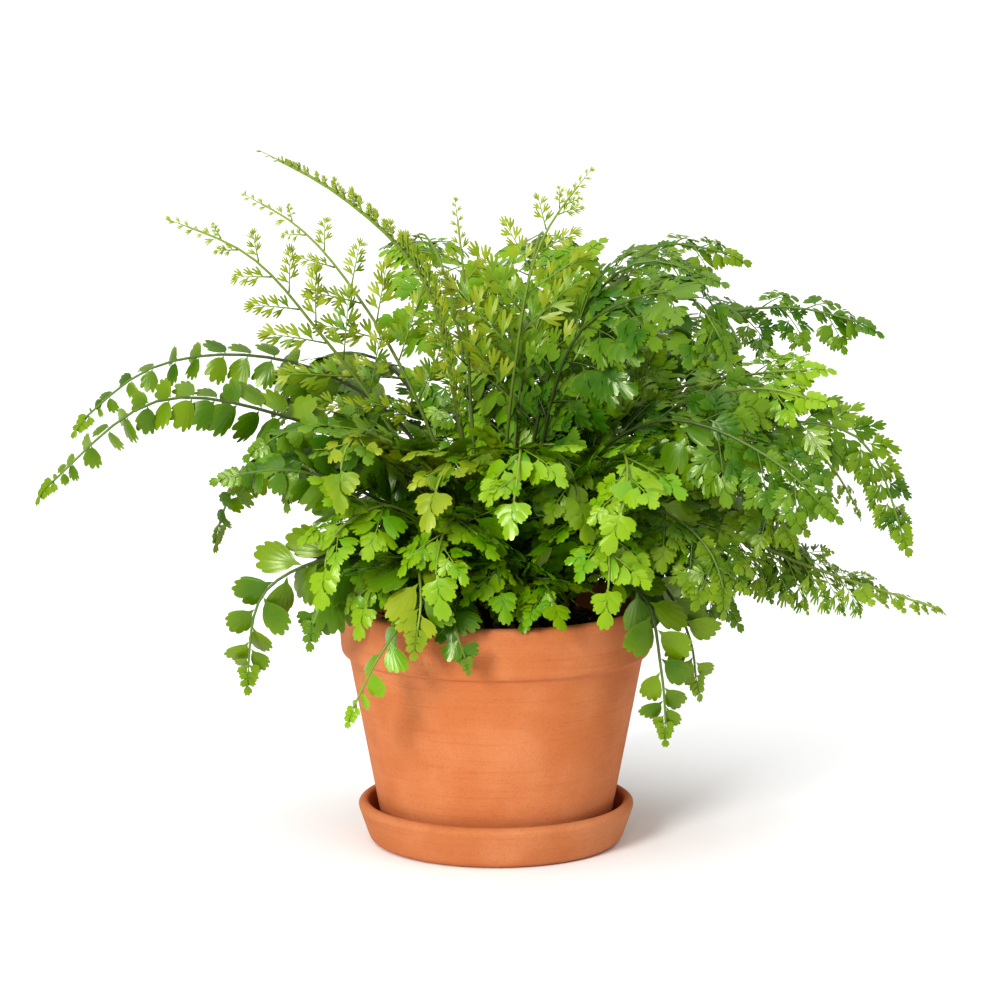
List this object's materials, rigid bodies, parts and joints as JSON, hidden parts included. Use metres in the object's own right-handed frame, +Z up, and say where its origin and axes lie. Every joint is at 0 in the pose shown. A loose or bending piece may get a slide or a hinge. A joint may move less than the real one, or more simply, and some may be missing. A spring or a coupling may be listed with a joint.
{
  "type": "potted fern",
  "caption": "Leafy fern with divided, arching fronds that grow from the soil of a round rimmed clay pot on its saucer.",
  "frame": {"origin": "middle of the saucer's flat underside, where it rests on a table", "axes": "+Z up the middle of the pot, +X to the right along the widest spread of the fronds, -Y towards the front"},
  "size_m": [0.4719, 0.3098, 0.3557],
  "materials": {
    "saucer_clay": "matte",
    "pot_clay": "matte",
    "soil": "matte",
    "leaf_lime": "satin",
    "leaf_fresh": "satin",
    "leaf_trailing": "satin",
    "leaf_green": "satin",
    "leaf_deep": "satin"
  },
  "bodies": {
    "root": {"saucer": "saucer_clay", "pot": "pot_clay", "soil": "soil", "frond_01": "leaf_fresh", "frond_02": "leaf_lime", "frond_03": "leaf_deep", "frond_04": "leaf_green", "frond_05": "leaf_green", "frond_06": "leaf_green", "frond_07": "leaf_deep", "frond_08": "leaf_fresh", "frond_09": "leaf_fresh", "frond_10": "leaf_fresh", "frond_11": "leaf_lime", "frond_12": "leaf_lime", "frond_13": "leaf_fresh", "frond_14": "leaf_fresh", "frond_15": "leaf_fresh", "frond_16": "leaf_deep", "frond_17": "leaf_deep", "frond_18": "leaf_green", "frond_19": "leaf_green", "frond_20": "leaf_green", "frond_21": "leaf_deep", "frond_22": "leaf_deep", "frond_23": "leaf_deep", "frond_24": "leaf_lime", "frond_25": "leaf_lime", "frond_26": "leaf_lime", "frond_27": "leaf_lime", "frond_28": "leaf_lime", "frond_29": "leaf_fresh", "frond_30": "leaf_deep", "frond_31": "leaf_green", "frond_32": "leaf_deep", "frond_33": "leaf_fresh", "frond_34": "leaf_fresh", "frond_35": "leaf_fresh", "frond_36": "leaf_trailing", "frond_37": "leaf_green", "frond_38": "leaf_deep", "frond_39": "leaf_trailing", "frond_40": "leaf_deep", "frond_41": "leaf_deep", "frond_42": "leaf_green", "frond_43": "leaf_green", "frond_44": "leaf_deep", "frond_45": "leaf_green", "frond_46": "leaf_fresh", "frond_47": "leaf_fresh", "frond_48": "leaf_deep", "frond_49": "leaf_deep", "frond_50": "leaf_deep", "frond_51": "leaf_deep", "frond_52": "leaf_green", "frond_53": "leaf_green"}
  },
  "joints": []
}
